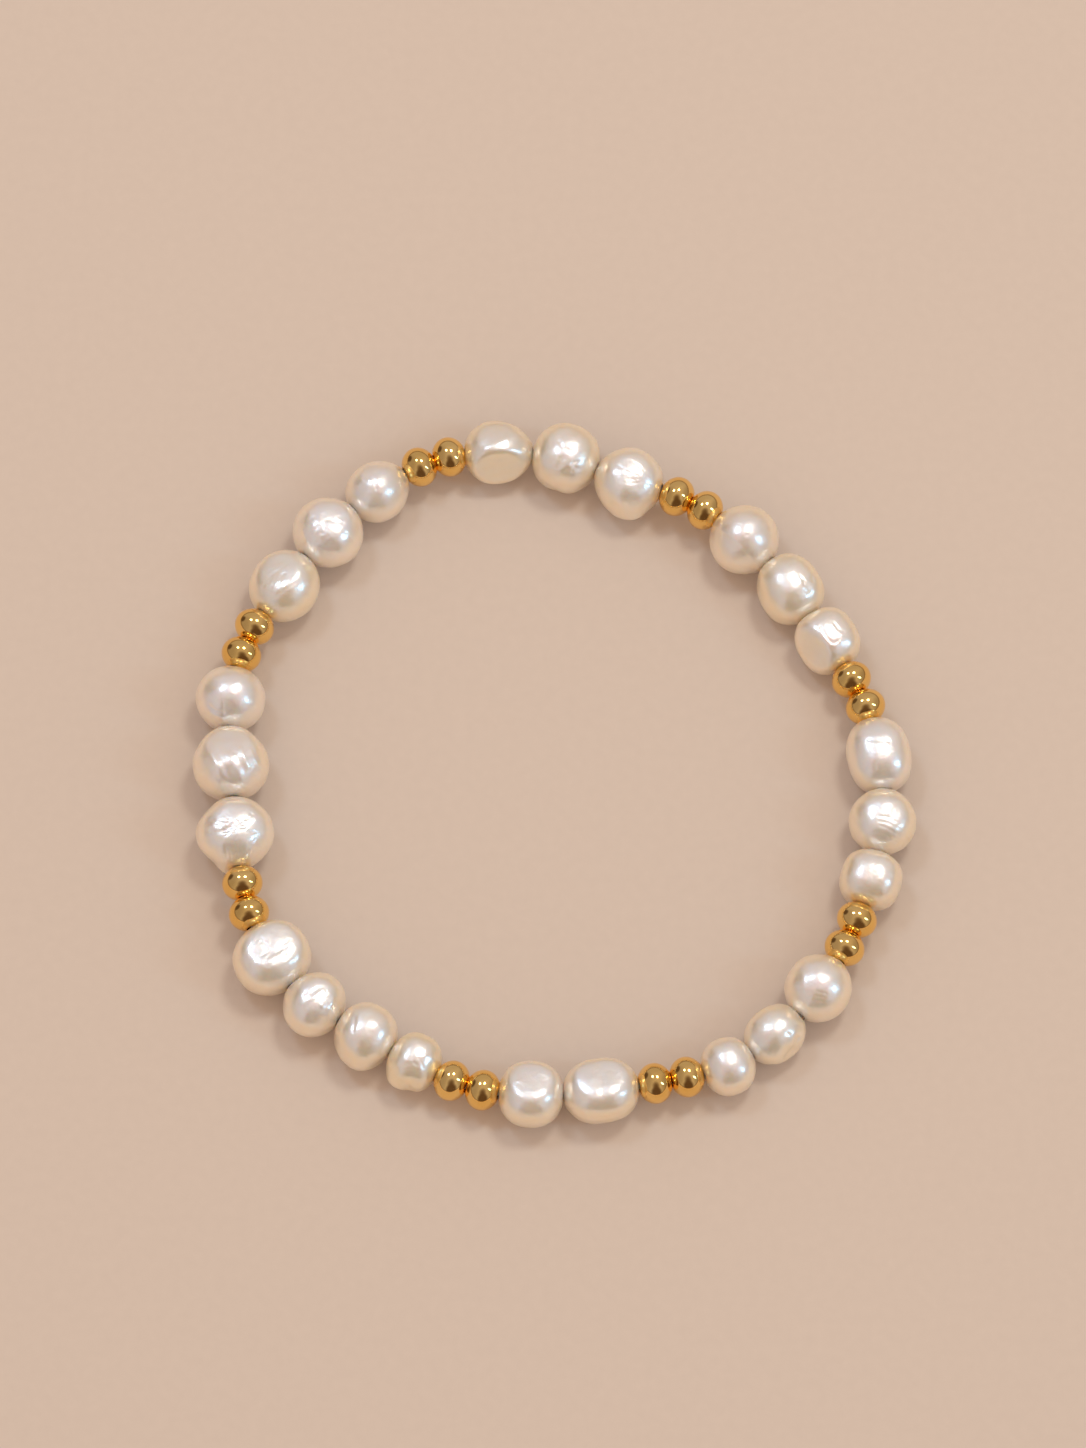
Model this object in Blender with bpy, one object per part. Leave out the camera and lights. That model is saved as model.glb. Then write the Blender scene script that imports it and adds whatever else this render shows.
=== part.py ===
"""A stretch bracelet of freshwater pearls and gilt spacer beads, lying closed on a table.

Metres, +Z up. The origin is on the table, under the middle of the loop.
The beads run clockwise, seen from above. Each bead's own frame has +X along its drill
hole towards the next bead, +Y outwards from the loop and +Z up.
"""

import math
from collections import namedtuple

import bpy
import numpy as np
from mathutils import Matrix

# Driving dimensions
PEARL_SIZE = 0.0066
SPACER_DIAMETER = 0.0040
SPACER_LENGTH = 0.0031
THREAD_DIAMETER = 0.0006
BEAD_GAP = 0.00014

# Room all round the thread in a drill hole, and the thread's straight run past each bend
PEARL_HOLE_CLEARANCE = 0.0002
SPACER_HOLE_CLEARANCE = 0.00035
THREAD_BEND = 0.0004

# How finely the round shapes are cut into flat faces
PEARL_SIDES = 16
PEARL_RINGS = 11
SPACER_SIDES = 12
SPACER_RINGS = 7
LOOP_STEPS = 1440
SHARP_EDGE = math.radians(50.0)

# A spacer's outline is a squared ellipse of this power: 2 is a plain ellipse.
SPACER_SQUARENESS = 2.3

# The string's route. Each point is its distance from the middle of the loop, as a share
# of the mean, at equal steps clockwise from the far side (+Y).
ROUTE = (
    1.075, 1.04, 1.045, 1.045, 1.10, 1.09, 1.10, 1.01,
    0.97, 0.915, 0.92, 0.885, 0.86, 0.925, 0.965, 1.05,
)
FIRST_BEAD_BEARING = -8.8

# Pearls in each run of the string. A pair of spacers follows each run.
RUNS = (3, 3, 3, 3, 2, 4, 3, 3)
SPACERS_IN_PAIR = 2

# Every length is a share of PEARL_SIZE. length runs along the drill hole, width across it
# and height upwards. taper thins the end towards the next bead, box squares the outline,
# out is how far the body sits outwards of its drill hole, and seat is how much of its
# underside is worn flat.
Pearl = namedtuple("Pearl", "length width height taper box out seat")
PEARLS = (
    Pearl(1.04, 0.97, 0.94, 0.10, 0.1, 0.01, 0.00),
    Pearl(1.01, 1.06, 0.99, 0.00, 0.3, 0.04, 0.00),
    Pearl(1.04, 1.08, 1.02, 0.00, 0.0, -0.05, 0.00),
    Pearl(1.04, 1.09, 1.04, 0.00, 0.0, -0.01, 0.00),
    Pearl(1.05, 0.96, 0.93, 0.00, 0.4, -0.01, 0.00),
    Pearl(0.94, 0.94, 0.92, 0.00, 0.6, 0.00, 0.00),
    Pearl(1.14, 0.97, 0.94, 0.00, 0.4, -0.01, 0.00),
    Pearl(1.00, 1.03, 0.98, 0.00, 0.0, -0.01, 0.00),
    Pearl(0.84, 0.93, 0.91, 0.00, 0.6, 0.00, 0.00),
    Pearl(1.01, 1.00, 0.96, 0.00, 0.1, -0.02, 0.00),
    Pearl(0.93, 0.84, 0.82, 0.00, 0.2, -0.03, 0.00),
    Pearl(0.77, 0.87, 0.83, 0.00, 0.5, 0.04, 0.00),
    Pearl(1.12, 0.97, 0.92, 0.00, 0.3, -0.01, 0.02),
    Pearl(0.95, 0.99, 0.93, 0.00, 0.3, -0.01, 0.02),
    Pearl(0.75, 0.88, 0.84, 0.00, 0.8, -0.02, 0.00),
    Pearl(0.89, 0.98, 0.93, 0.00, 0.5, -0.01, 0.00),
    Pearl(0.89, 1.02, 0.97, 0.00, 0.0, 0.02, 0.00),
    Pearl(1.06, 1.19, 1.06, 0.00, 0.2, 0.01, 0.04),
    Pearl(1.10, 1.19, 1.08, 0.00, 0.0, 0.02, 0.00),
    Pearl(1.11, 1.17, 1.09, 0.00, 0.2, -0.02, 0.00),
    Pearl(0.98, 1.06, 1.01, 0.00, 0.1, 0.01, 0.00),
    Pearl(1.10, 1.06, 1.02, 0.00, 0.1, -0.02, 0.00),
    Pearl(1.06, 1.11, 1.05, 0.00, 0.0, 0.01, 0.00),
    Pearl(0.99, 0.95, 0.92, 0.08, 0.0, 0.02, 0.00),
)

# The main lumps and dents. swing turns from outwards towards the next bead and rise lifts
# towards the top, in degrees. turn sets the long way of the mark, in degrees from level.
# long and wide are its reach and lift its height, as shares of the pearl's radius.
Mark = namedtuple("Mark", "pearl swing rise turn long wide lift")
MARKS = (
    Mark(2, -163, 2, 0, 0.45, 0.45, -0.04),
    Mark(2, 122, -13, 0, 0.45, 0.45, -0.04),
    Mark(3, 158, -16, 0, 0.42, 0.42, 0.15),
    Mark(3, -165, 5, 0, 0.30, 0.30, -0.04),
    Mark(5, 164, -15, 0, 0.60, 0.60, 0.06),
    Mark(5, -149, 13, 0, 0.40, 0.40, -0.05),
    Mark(6, 20, 65, 0, 0.60, 0.60, -0.04),
    Mark(11, 0, 20, 60, 0.45, 0.28, -0.09),
    Mark(15, -23, 5, 90, 0.70, 0.28, -0.12),
    Mark(15, 8, -5, 0, 0.35, 0.35, 0.03),
    Mark(15, -55, -5, 0, 0.35, 0.35, 0.03),
    Mark(16, -12, -14, 0, 0.50, 0.50, 0.08),
    Mark(16, 41, 15, 0, 0.45, 0.45, -0.05),
    Mark(16, -60, 0, 0, 0.40, 0.40, -0.05),
    Mark(17, -110, 23, 0, 0.35, 0.35, -0.03),
    Mark(18, -80, 78, 0, 0.70, 0.70, -0.06),
    Mark(19, -70, -17, 0, 0.26, 0.26, 0.11),
    Mark(19, -36, -11, 0, 0.40, 0.40, -0.05),
    Mark(19, 45, 10, 0, 0.50, 0.50, -0.05),
    Mark(20, 145, 15, 0, 0.45, 0.45, -0.07),
    Mark(20, 35, 15, 0, 0.40, 0.40, -0.06),
    Mark(20, -47, 55, 60, 0.60, 0.28, 0.04),
    Mark(20, -109, 37, 0, 0.40, 0.30, 0.03),
    Mark(22, -31, 52, 0, 0.60, 0.60, -0.05),
    Mark(24, -15, 14, 0, 0.50, 0.50, -0.04),
)


def route_points(mean_radius):
    """The string's closed centreline seen from above: points and the distance run to each.

    A smooth periodic curve is drawn through ROUTE by summing its own harmonics.
    """
    shares = np.array(ROUTE)
    count = len(shares)
    waves = np.fft.rfft(shares) / count
    bearing = np.linspace(0.0, 2.0 * math.pi, LOOP_STEPS + 1)
    radius = np.full_like(bearing, waves[0].real)
    for order in range(1, len(waves)):
        weight = 1.0 if order == count / 2 else 2.0
        radius += weight * (waves[order] * np.exp(1j * order * bearing)).real
    radius *= mean_radius
    points = np.stack([radius * np.sin(bearing), radius * np.cos(bearing)], axis=1)
    steps = np.hypot(*np.diff(points, axis=0).T)
    return points, np.concatenate([[0.0], np.cumsum(steps)])


def bead_order():
    """The beads in stringing order, as (kind, number from 0)."""
    order, pearl, spacer = [], 0, 0
    for run in RUNS:
        for _ in range(run):
            order.append(("pearl", pearl))
            pearl += 1
        for _ in range(SPACERS_IN_PAIR):
            order.append(("spacer", spacer))
            spacer += 1
    return order


def bead_length(kind, number):
    """Length along the drill hole."""
    return PEARL_SIZE * PEARLS[number].length if kind == "pearl" else SPACER_LENGTH


def bore_heights(order):
    """Height of the string at each bead: half a pearl's height, and at a spacer the line
    between the pearls on either side, but never so low that the spacer meets the table."""
    count = len(order)
    known = [i for i, (kind, _) in enumerate(order) if kind == "pearl"]
    halves = [0.5 * PEARL_SIZE * PEARLS[order[i][1]].height for i in known]
    around = [i - count for i in known] + known + [i + count for i in known]
    heights = np.interp(np.arange(count), around, halves * 3)
    spacer = [kind == "spacer" for kind, _ in order]
    lowest = 0.5 * SPACER_DIAMETER + BEAD_GAP
    return np.where(spacer, np.maximum(heights, lowest), heights)


def string_knots(order):
    """The string's corner points, halfway between neighbouring beads.

    The loop is as long as the beads and gaps on it, and knot i comes before bead i.
    """
    pitches = np.array([bead_length(*bead) + BEAD_GAP for bead in order])
    unit_length = route_points(1.0)[1][-1]
    points, run = route_points(pitches.sum() / unit_length)
    turned = (FIRST_BEAD_BEARING % 360.0) / 360.0 * LOOP_STEPS
    start = np.interp(turned, np.arange(LOOP_STEPS + 1), run)
    along = (start + np.concatenate([[0.0], np.cumsum(pitches)[:-1]])) % run[-1]
    heights = bore_heights(order)
    between = 0.5 * (heights + np.roll(heights, 1))
    flat = [np.interp(along, run, points[:, axis]) for axis in (0, 1)]
    return np.stack([*flat, between], axis=1)


def bead_frames(knots):
    """Each bead's centre and its X, Y and Z directions, as rows of a 3 by 3 array."""
    ends = np.roll(knots, -1, axis=0)
    frames = []
    for start, end in zip(knots, ends):
        forward = (end - start) / np.linalg.norm(end - start)
        outward = np.array([-forward[1], forward[0], 0.0])
        outward /= np.linalg.norm(outward)
        axes = np.array([forward, outward, np.cross(forward, outward)])
        frames.append((0.5 * (start + end), axes))
    return frames


def ring_solid(name, rings):
    """A mesh closed both ways: each ring joins the next, and the last joins the first."""
    ring_count, side_count = rings.shape[:2]
    faces = []
    for ring in range(ring_count):
        after = (ring + 1) % ring_count
        for side in range(side_count):
            beside = (side + 1) % side_count
            faces.append((
                ring * side_count + side,
                ring * side_count + beside,
                after * side_count + beside,
                after * side_count + side,
            ))
    mesh = bpy.data.meshes.new(name)
    mesh.from_pydata(rings.reshape(-1, 3).tolist(), [], faces)
    mesh.shade_smooth()
    mesh.set_sharp_from_angle(angle=SHARP_EDGE)
    return mesh


def mark_lift(number, directions):
    """What the pearl's marks add to its radius, as a share, in each unit direction.

    A mark is a bell shape with a long and a wide reach. Its two distances are taken on a
    flat map of the pearl round the mark's middle, which fades it out towards the far side.
    """
    total = np.zeros(directions.shape[:-1])
    for mark in MARKS:
        if mark.pearl != number + 1:
            continue
        swing, rise, turn = (math.radians(angle) for angle in (mark.swing, mark.rise, mark.turn))
        level = np.array([math.cos(swing), -math.sin(swing), 0.0])
        ahead = np.array([math.sin(swing), math.cos(swing), 0.0])
        middle = math.cos(rise) * ahead + math.sin(rise) * np.array([0.0, 0.0, 1.0])
        long_way = math.cos(turn) * level + math.sin(turn) * np.cross(level, middle)
        wide_way = np.cross(middle, long_way)
        spread = 0.5 * np.maximum(1.0 + directions @ middle, 0.001)
        along = directions @ long_way / spread / mark.long
        across = directions @ wide_way / spread / mark.wide
        total += mark.lift * np.exp(-along ** 2 - across ** 2)
    return total


def pearl_body(number, directions):
    """Points of a pearl's skin in unit directions from the middle of its body.

    The radius is that of a rounded box of the pearl's three sizes, raised or sunk by its
    marks, and its cross-section then shrinks along the drill hole by the taper.
    """
    pearl = PEARLS[number]
    half = 0.5 * PEARL_SIZE * np.array([pearl.length, pearl.width, pearl.height])
    power = 2.0 + pearl.box
    radius = (np.abs(directions / half) ** power).sum(axis=-1) ** (-1.0 / power)
    radius *= 1.0 + mark_lift(number, directions)
    points = directions * radius[..., None]
    thinning = 1.0 - pearl.taper * points[..., 0] / half[0]
    points[..., 1:] *= thinning[..., None]
    return points


def pearl_rings(number, axes, bore_height):
    """A pearl's rings, in its own frame, with its body resting on the table.

    What lies below its flat seat is lifted to the seat, and then the body is moved down or
    up along its own frame until the seat is at table level.
    """
    pearl = PEARLS[number]
    half_length = 0.5 * PEARL_SIZE * pearl.length
    bore = 0.5 * THREAD_DIAMETER + PEARL_HOLE_CLEARANCE
    side = (np.arange(PEARL_SIDES) + 0.5) * 2.0 * math.pi / PEARL_SIDES
    round_way = np.stack([np.cos(side), np.sin(side)], axis=1)
    first = math.asin(bore / half_length)
    lean = np.linspace(first, math.pi - first, PEARL_RINGS)[:, None]
    directions = np.stack([
        -np.cos(lean) * np.ones(PEARL_SIDES),
        np.sin(lean) * round_way[:, 0],
        np.sin(lean) * round_way[:, 1],
    ], axis=-1)
    points = pearl_body(number, directions)
    points[..., 1] += PEARL_SIZE * pearl.out
    level = (points @ axes)[..., 2]
    floor = level.min() + PEARL_SIZE * pearl.seat
    points[..., 2] += (np.maximum(level, floor) - level - floor - bore_height) / axes[2][2]
    for end in (0, -1):
        points[end, :, 1:] = bore * round_way
    return points


def spacer_rings():
    """A spacer's rings in its own frame: a squared ellipse turned round its bore."""
    half_length = 0.5 * SPACER_LENGTH
    radius = 0.5 * SPACER_DIAMETER
    bore = 0.5 * THREAD_DIAMETER + SPACER_HOLE_CLEARANCE
    first = math.asin(bore / radius)
    lean = np.linspace(first, math.pi - first, SPACER_RINGS)
    power = 2.0 / SPACER_SQUARENESS
    along = -np.sign(np.cos(lean)) * np.abs(np.cos(lean)) ** power * half_length
    out = np.sin(lean) ** power * radius
    along *= half_length / along.max()
    out[[0, -1]] = bore
    side = np.arange(SPACER_SIDES) * 2.0 * math.pi / SPACER_SIDES
    return np.stack([
        along[:, None] * np.ones(SPACER_SIDES),
        out[:, None] * np.cos(side),
        out[:, None] * np.sin(side),
    ], axis=-1)


def material(name, colour, metallic, roughness):
    """A Principled material of one colour."""
    made = bpy.data.materials.new(name)
    made.use_nodes = True
    shader = made.node_tree.nodes["Principled BSDF"]
    shader.inputs["Base Color"].default_value = (*colour, 1.0)
    shader.inputs["Metallic"].default_value = metallic
    shader.inputs["Roughness"].default_value = roughness
    made.diffuse_color = (*colour, 1.0)
    return made


def add_object(name, data, finish, parent):
    """An object in the scene, with its material and parent."""
    data.materials.append(finish)
    made = bpy.data.objects.new(name, data)
    bpy.context.scene.collection.objects.link(made)
    made.parent = parent
    return made


def place(obj, centre, axes):
    """Puts an object at a centre, with its axes along the rows of a 3 by 3 array."""
    turn = Matrix(axes.T.tolist()).to_4x4()
    obj.matrix_world = Matrix.Translation(centre.tolist()) @ turn


def thread_curve(knots):
    """The elastic: straight through each bead, with its bends between the beads."""
    chords = np.roll(knots, -1, axis=0) - knots
    run = THREAD_BEND * chords / np.linalg.norm(chords, axis=1)[:, None]
    points = np.stack([knots + run, knots + chords - run], axis=1).reshape(-1, 3)
    curve = bpy.data.curves.new("elastic_thread", "CURVE")
    curve.dimensions = "3D"
    curve.bevel_depth = 0.5 * THREAD_DIAMETER
    curve.bevel_resolution = 1
    spline = curve.splines.new("POLY")
    spline.points.add(len(points) - 1)
    for point, position in zip(spline.points, points):
        point.co = (*position, 1.0)
    spline.use_cyclic_u = True
    return curve


def build():
    """Clears the scene and strings the bracelet."""
    for old in list(bpy.data.objects):
        bpy.data.objects.remove(old)

    order = bead_order()
    knots = string_knots(order)
    frames = bead_frames(knots)
    rings = []
    for (kind, number), (centre, axes) in zip(order, frames):
        rings.append(pearl_rings(number, axes, centre[2]) if kind == "pearl" else spacer_rings())

    skins = [(shape @ axes + centre).reshape(-1, 3) for shape, (centre, axes) in zip(rings, frames)]
    skin = np.concatenate(skins)
    middle = 0.5 * (skin.min(axis=0) + skin.max(axis=0))
    middle[2] = 0.0

    nacre = material("nacre", (0.87, 0.82, 0.75), 0.0, 0.25)
    gilt = material("gilt", (0.83, 0.60, 0.28), 1.0, 0.12)
    elastic = material("elastic", (0.85, 0.85, 0.84), 0.0, 0.4)

    bracelet = bpy.data.objects.new("bracelet", None)
    bpy.context.scene.collection.objects.link(bracelet)
    spacer_mesh = ring_solid("spacer", spacer_rings())
    for (kind, number), shape, (centre, axes) in zip(order, rings, frames):
        if kind == "pearl":
            name = f"pearl_{number + 1:02d}"
            bead = add_object(name, ring_solid(name, shape), nacre, bracelet)
        else:
            bead = add_object(f"spacer_bead_{number + 1:02d}", spacer_mesh.copy(), gilt, bracelet)
        place(bead, centre - middle, axes)
    add_object("elastic_thread", thread_curve(knots - middle), elastic, bracelet)


build()
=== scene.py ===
"""Looks of a stretch bracelet of freshwater pearls and gilt spacer beads, lying closed on a table.

Metres, +Z up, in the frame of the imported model. The beads run clockwise, seen from above.
"""

import math
from collections import namedtuple

import bpy
import numpy as np
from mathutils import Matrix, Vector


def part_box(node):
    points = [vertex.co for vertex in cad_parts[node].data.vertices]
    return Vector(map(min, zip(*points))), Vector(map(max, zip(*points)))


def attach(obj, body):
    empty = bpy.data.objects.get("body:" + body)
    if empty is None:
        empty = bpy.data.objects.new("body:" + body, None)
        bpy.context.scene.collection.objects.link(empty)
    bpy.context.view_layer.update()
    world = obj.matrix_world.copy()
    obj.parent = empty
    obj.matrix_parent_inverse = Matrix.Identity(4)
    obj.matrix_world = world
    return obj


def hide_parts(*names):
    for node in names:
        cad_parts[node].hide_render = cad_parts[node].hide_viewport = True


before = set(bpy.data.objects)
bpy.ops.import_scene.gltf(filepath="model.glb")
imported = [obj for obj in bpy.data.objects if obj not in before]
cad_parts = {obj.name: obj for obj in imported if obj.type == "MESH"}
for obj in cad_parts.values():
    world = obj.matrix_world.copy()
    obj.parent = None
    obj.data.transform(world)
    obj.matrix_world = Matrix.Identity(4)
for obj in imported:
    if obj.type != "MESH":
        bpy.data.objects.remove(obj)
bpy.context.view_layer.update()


# The string
# A length of elastic holds all the beads in one closed loop, and its beads set how it lies.
# Its route is drawn through a listed table of shares and is as long as the beads and the small
# gaps between them.

PEARL_SIZE = 0.0066
SPACER_DIAMETER = 0.0040
SPACER_LENGTH = 0.0031
THREAD_DIAMETER = 0.0006
BEAD_GAP = 0.00014
PEARL_HOLE_CLEARANCE = 0.0002
SPACER_HOLE_CLEARANCE = 0.00035
SPACERS_IN_PAIR = 2
RUNS = (3, 3, 3, 3, 2, 4, 3, 3)
FIRST_BEAD_BEARING = -8.8
LOOP_STEPS = 1440
ROUTE = (
    1.075, 1.04, 1.045, 1.045, 1.10, 1.09, 1.10, 1.01,
    0.97, 0.915, 0.92, 0.885, 0.86, 0.925, 0.965, 1.05,
)

# Lengths are shares of PEARL_SIZE. warm and rose tint the nacre, ripple is how wavy it is.
Pearl = namedtuple("Pearl", "length width height taper box out seat warm rose ripple")
PEARLS = (
    Pearl(1.04, 0.97, 0.94, 0.10, 0.1, 0.01, 0.00, 0.95, 0.35, 0.8),
    Pearl(1.01, 1.06, 0.99, 0.00, 0.3, 0.04, 0.00, 0.70, 0.15, 1.5),
    Pearl(1.04, 1.08, 1.02, 0.00, 0.0, -0.05, 0.00, 0.35, 0.00, 1.1),
    Pearl(1.04, 1.09, 1.04, 0.00, 0.0, -0.01, 0.00, 0.50, 0.70, 0.5),
    Pearl(1.05, 0.96, 0.93, 0.00, 0.4, -0.01, 0.00, 0.90, 0.00, 0.8),
    Pearl(0.94, 0.94, 0.92, 0.00, 0.6, 0.00, 0.00, 0.90, 0.90, 0.6),
    Pearl(1.14, 0.97, 0.94, 0.00, 0.4, -0.01, 0.00, 0.10, 0.30, 0.6),
    Pearl(1.00, 1.03, 0.98, 0.00, 0.0, -0.01, 0.00, 0.55, 0.00, 1.2),
    Pearl(0.84, 0.93, 0.91, 0.00, 0.6, 0.00, 0.00, 0.80, 0.50, 0.9),
    Pearl(1.01, 1.00, 0.96, 0.00, 0.1, -0.02, 0.00, 0.50, 0.60, 1.0),
    Pearl(0.93, 0.84, 0.82, 0.00, 0.2, -0.03, 0.00, 0.75, 0.30, 1.0),
    Pearl(0.77, 0.87, 0.83, 0.00, 0.3, 0.04, 0.00, 0.40, 0.50, 0.5),
    Pearl(1.12, 0.97, 0.92, 0.00, 0.3, -0.01, 0.02, 0.60, 0.30, 1.0),
    Pearl(0.95, 0.99, 0.93, 0.00, 0.3, -0.01, 0.02, 0.45, 0.30, 0.8),
    Pearl(0.75, 0.88, 0.84, 0.00, 0.4, -0.02, 0.00, 1.20, 0.20, 1.3),
    Pearl(0.89, 0.98, 0.93, 0.00, 0.3, -0.01, 0.00, 0.65, 0.40, 0.9),
    Pearl(0.89, 1.02, 0.97, 0.00, 0.0, 0.02, 0.00, 0.40, 0.15, 1.0),
    Pearl(1.06, 1.19, 1.06, 0.00, 0.2, 0.01, 0.04, 0.45, 0.10, 0.9),
    Pearl(1.10, 1.19, 1.08, 0.00, 0.0, 0.02, 0.00, 0.15, 0.00, 1.4),
    Pearl(1.11, 1.17, 1.09, 0.00, 0.2, -0.02, 0.00, 0.15, 0.20, 1.2),
    Pearl(0.98, 1.06, 1.01, 0.00, 0.1, 0.01, 0.00, 0.00, 0.40, 0.9),
    Pearl(1.10, 1.06, 1.02, 0.00, 0.1, -0.02, 0.00, 0.55, 0.00, 0.7),
    Pearl(1.06, 1.11, 1.05, 0.00, 0.0, 0.01, 0.00, 0.00, 0.25, 1.1),
    Pearl(0.99, 0.95, 0.92, 0.08, 0.0, 0.02, 0.00, 0.20, 0.50, 0.8),
)


def route_points(mean_radius):
    """The string's closed centreline from above, and the distance run to each point.

    A smooth periodic curve is drawn through ROUTE by summing its own harmonics.
    """
    shares = np.array(ROUTE)
    count = len(shares)
    waves = np.fft.rfft(shares) / count
    bearing = np.linspace(0.0, 2.0 * math.pi, LOOP_STEPS + 1)
    radius = np.full_like(bearing, waves[0].real)
    for order in range(1, len(waves)):
        weight = 1.0 if order == count / 2 else 2.0
        radius += weight * (waves[order] * np.exp(1j * order * bearing)).real
    radius *= mean_radius
    points = np.stack([radius * np.sin(bearing), radius * np.cos(bearing)], axis=1)
    steps = np.hypot(*np.diff(points, axis=0).T)
    return points, np.concatenate([[0.0], np.cumsum(steps)])


def bead_order():
    """The beads in stringing order, as (kind, number from 0)."""
    order, pearl, spacer = [], 0, 0
    for run in RUNS:
        order += [("pearl", pearl + step) for step in range(run)]
        order += [("spacer", spacer + step) for step in range(SPACERS_IN_PAIR)]
        pearl += run
        spacer += SPACERS_IN_PAIR
    return order


def bead_length(kind, number):
    """Length along the drill hole."""
    return PEARL_SIZE * PEARLS[number].length if kind == "pearl" else SPACER_LENGTH


def bore_heights(order):
    """Height of the string at each bead: half a pearl's height, and between pearls a line."""
    count = len(order)
    known = [i for i, (kind, _) in enumerate(order) if kind == "pearl"]
    halves = [0.5 * PEARL_SIZE * PEARLS[order[i][1]].height for i in known]
    around = [i - count for i in known] + known + [i + count for i in known]
    heights = np.interp(np.arange(count), around, halves * 3)
    spacer = [kind == "spacer" for kind, _ in order]
    return np.where(spacer, np.maximum(heights, 0.5 * SPACER_DIAMETER + BEAD_GAP), heights)


def string_knots(order):
    """The string's corner points, halfway between neighbouring beads, from the route's middle."""
    pitches = np.array([bead_length(*bead) + BEAD_GAP for bead in order])
    points, run = route_points(pitches.sum() / route_points(1.0)[1][-1])
    turned = (FIRST_BEAD_BEARING % 360.0) / 360.0 * LOOP_STEPS
    start = np.interp(turned, np.arange(LOOP_STEPS + 1), run)
    along = (start + np.concatenate([[0.0], np.cumsum(pitches)[:-1]])) % run[-1]
    heights = bore_heights(order)
    between = 0.5 * (heights + np.roll(heights, 1))
    flat = [np.interp(along, run, points[:, axis]) for axis in (0, 1)]
    return np.stack([*flat, between], axis=1)


def bead_frames(knots):
    """Each bead's centre and its X, Y and Z directions, as rows of a 3 by 3 array."""
    ends = np.roll(knots, -1, axis=0)
    frames = []
    for start, end in zip(knots, ends):
        forward = (end - start) / np.linalg.norm(end - start)
        outward = np.array([-forward[1], forward[0], 0.0])
        outward /= np.linalg.norm(outward)
        axes = np.array([forward, outward, np.cross(forward, outward)])
        frames.append((0.5 * (start + end), axes))
    return frames


def node_middle(name):
    """The middle of a node's box."""
    low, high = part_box(name)
    return 0.5 * (np.array(low) + np.array(high))


order = bead_order()
knots = string_knots(order)

# The model's origin is under the middle of the whole loop. The elastic's box shows how far
# that is from the middle that the route is drawn about.
thread_middle = 0.5 * (knots.min(axis=0) + knots.max(axis=0))
origin_shift = node_middle("elastic_thread") - thread_middle
origin_shift[2] = 0.0
knots = knots + origin_shift
frames = bead_frames(knots)


def closed_skin(name, rings):
    """A mesh from a table of points: each ring joins the next, and the last joins the first."""
    ring_count, side_count = rings.shape[:2]
    here = np.arange(ring_count * side_count).reshape(ring_count, side_count)
    beside = np.roll(here, -1, axis=1)
    after = np.roll(here, -1, axis=0)
    across = np.roll(beside, -1, axis=0)
    corners = np.stack([here, beside, across, after], axis=-1).reshape(-1, 4)
    mesh = bpy.data.meshes.new(name)
    mesh.from_pydata(rings.reshape(-1, 3).tolist(), [], corners.tolist())
    mesh.shade_smooth()
    return mesh


def dress(name, mesh, finish, node):
    """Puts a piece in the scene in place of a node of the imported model."""
    piece = bpy.data.objects.new(name, mesh)
    bpy.context.scene.collection.objects.link(piece)
    mesh.materials.append(finish)
    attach(piece, "root")
    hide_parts(node)
    return piece


class Shade:
    """One value in a material. Sums and products of these add its Math nodes."""

    def __init__(self, tree, socket=None):
        self.tree = tree
        self.socket = socket

    def node(self, kind, settings, sockets, output=0):
        """Adds a node: its settings are set first, then its sockets get values or links."""
        made = self.tree.nodes.new(kind)
        for name, value in settings.items():
            setattr(made, name, value)
        for name, value in sockets.items():
            if isinstance(value, Shade):
                self.tree.links.new(value.socket, made.inputs[name])
            else:
                made.inputs[name].default_value = value
        return Shade(self.tree, made.outputs[output] if made.outputs else None)

    def math(self, operation, first, second):
        """A Math node on two values."""
        return self.node("ShaderNodeMath", {"operation": operation}, {0: first, 1: second})

    def __add__(self, other):
        return self.math("ADD", self, other)

    def __radd__(self, other):
        return self.math("ADD", other, self)

    def __sub__(self, other):
        return self.math("SUBTRACT", self, other)

    def __rsub__(self, other):
        return self.math("SUBTRACT", other, self)

    def __mul__(self, other):
        return self.math("MULTIPLY", self, other)

    def __rmul__(self, other):
        return self.math("MULTIPLY", other, self)

    def between(self, low, high):
        """Rises smoothly from 0 to 1 as the value goes from low to high."""
        settings = {"interpolation_type": "SMOOTHSTEP"}
        sockets = {"Value": self, "From Min": low, "From Max": high}
        return self.node("ShaderNodeMapRange", settings, sockets)

    def blend(self, first, second):
        """A colour from first, at 0, to second, at 1."""
        sockets = {0: self, 6: first, 7: second}
        return self.node("ShaderNodeMix", {"data_type": "RGBA"}, sockets, 2)

    def share_of(self, way):
        """How far a direction goes this way: 1 along it and -1 against it, for a unit way."""
        settings = {"operation": "DOT_PRODUCT"}
        return self.node("ShaderNodeVectorMath", settings, {0: self, 1: way}, "Value")

    def grain(self, scale, detail=2.0, distortion=0.0):
        """Soft cloudy noise around 0.5, with this many features in a metre."""
        sockets = {
            "Vector": self.node("ShaderNodeTexCoord", {}, {}, "Object"),
            "Scale": scale,
            "Detail": detail,
            "Distortion": distortion,
        }
        return self.node("ShaderNodeTexNoise", {"noise_dimensions": "3D"}, sockets, "Fac")

    def bump(self, height, distance, under=None):
        """A surface direction from a height, for a Normal socket."""
        sockets = {"Height": height, "Distance": distance, "Strength": 1.0}
        if under:
            sockets["Normal"] = under
        return self.node("ShaderNodeBump", {}, sockets, "Normal")


def new_finish(name):
    """An empty material, and a Shade that adds its nodes."""
    finish = bpy.data.materials.new(name)
    finish.use_nodes = True
    finish.node_tree.nodes.clear()
    return finish, Shade(finish.node_tree)


def output(shade, surface):
    """Joins a shader to the material's output."""
    shade.node("ShaderNodeOutputMaterial", {}, {"Surface": surface})


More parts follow.
